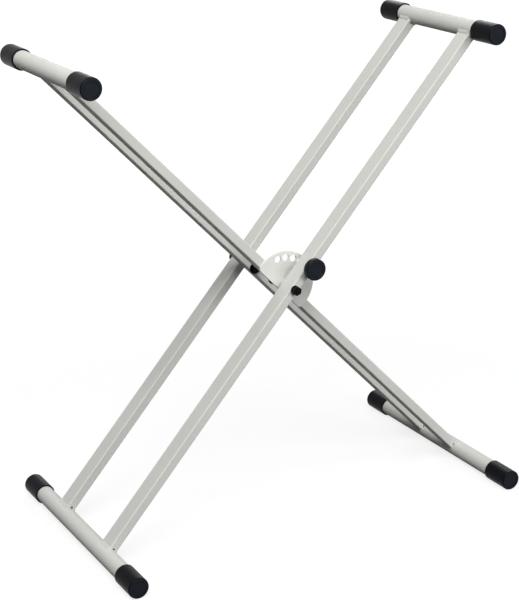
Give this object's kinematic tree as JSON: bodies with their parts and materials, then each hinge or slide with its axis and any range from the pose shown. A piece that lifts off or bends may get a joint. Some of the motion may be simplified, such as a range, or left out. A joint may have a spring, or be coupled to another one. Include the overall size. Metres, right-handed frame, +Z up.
{
  "type": "folding keyboard stand",
  "caption": "Folding X stand for a keyboard: two nested tubular frames on a common pivot with capped cross tubes and a sprung lock pin over an indexing plate.",
  "frame": {"origin": "on the floor, under the pivot, midway between the feet and midway between the rails", "axes": "+Z up, cross tubes along Y, the outer frame rises towards +X; -Y is the near side, with the lock knob"},
  "size_m": [0.711, 0.425, 0.7685],
  "materials": {
    "frame_paint": "warm light grey powder coat, low gloss",
    "cap_rubber": "black rubber, dull sheen",
    "black_fastener": "black oxide",
    "zinc_steel": "zinc plated",
    "nylon": "natural white nylon",
    "knob_plastic": "black moulded plastic, fine texture"
  },
  "bodies": {
    "outer_frame": {"outer_rail_near": "frame_paint", "outer_rail_far": "frame_paint", "outer_foot_tube": "frame_paint", "outer_top_tube": "frame_paint", "outer_foot_cap_near": "cap_rubber", "outer_foot_cap_far": "cap_rubber", "outer_top_cap_near": "cap_rubber", "outer_top_cap_far": "cap_rubber", "pivot_bolt_near": "black_fastener", "pivot_bolt_far": "black_fastener", "pivot_nut_near": "black_fastener", "pivot_nut_far": "black_fastener", "nut_washer_near": "black_fastener", "nut_washer_far": "black_fastener", "pivot_spacer_near": "nylon", "pivot_spacer_far": "nylon", "crush_sleeve_near": "zinc_steel", "crush_sleeve_far": "zinc_steel", "lock_housing": "frame_paint", "lock_plug": "zinc_steel"},
    "inner_frame": {"inner_rail_near": "frame_paint", "inner_rail_far": "frame_paint", "inner_foot_tube": "frame_paint", "inner_top_tube": "frame_paint", "inner_foot_cap_near": "cap_rubber", "inner_foot_cap_far": "cap_rubber", "inner_top_cap_near": "cap_rubber", "inner_top_cap_far": "cap_rubber", "pivot_bush_near": "zinc_steel", "pivot_bush_far": "zinc_steel", "lock_plate": "frame_paint"},
    "lock_plunger": {"lock_pin": "zinc_steel", "lock_knob": "knob_plastic", "lock_spring": "zinc_steel"}
  },
  "joints": [
    {"name": "fold", "type": "hinge", "parent": "outer_frame", "child": "inner_frame", "pos_m": [0, 0, 0.38423], "axis": [0, 1, 0], "range_deg": [0, 81.4]},
    {"name": "lock_pull", "type": "slide", "parent": "outer_frame", "child": "lock_plunger", "axis": [0, -1, 0], "range_m": [0, 0.006], "stiffness_N_per_m": 800, "springref_m": -0.014, "deforming": ["lock_spring"]}
  ]
}
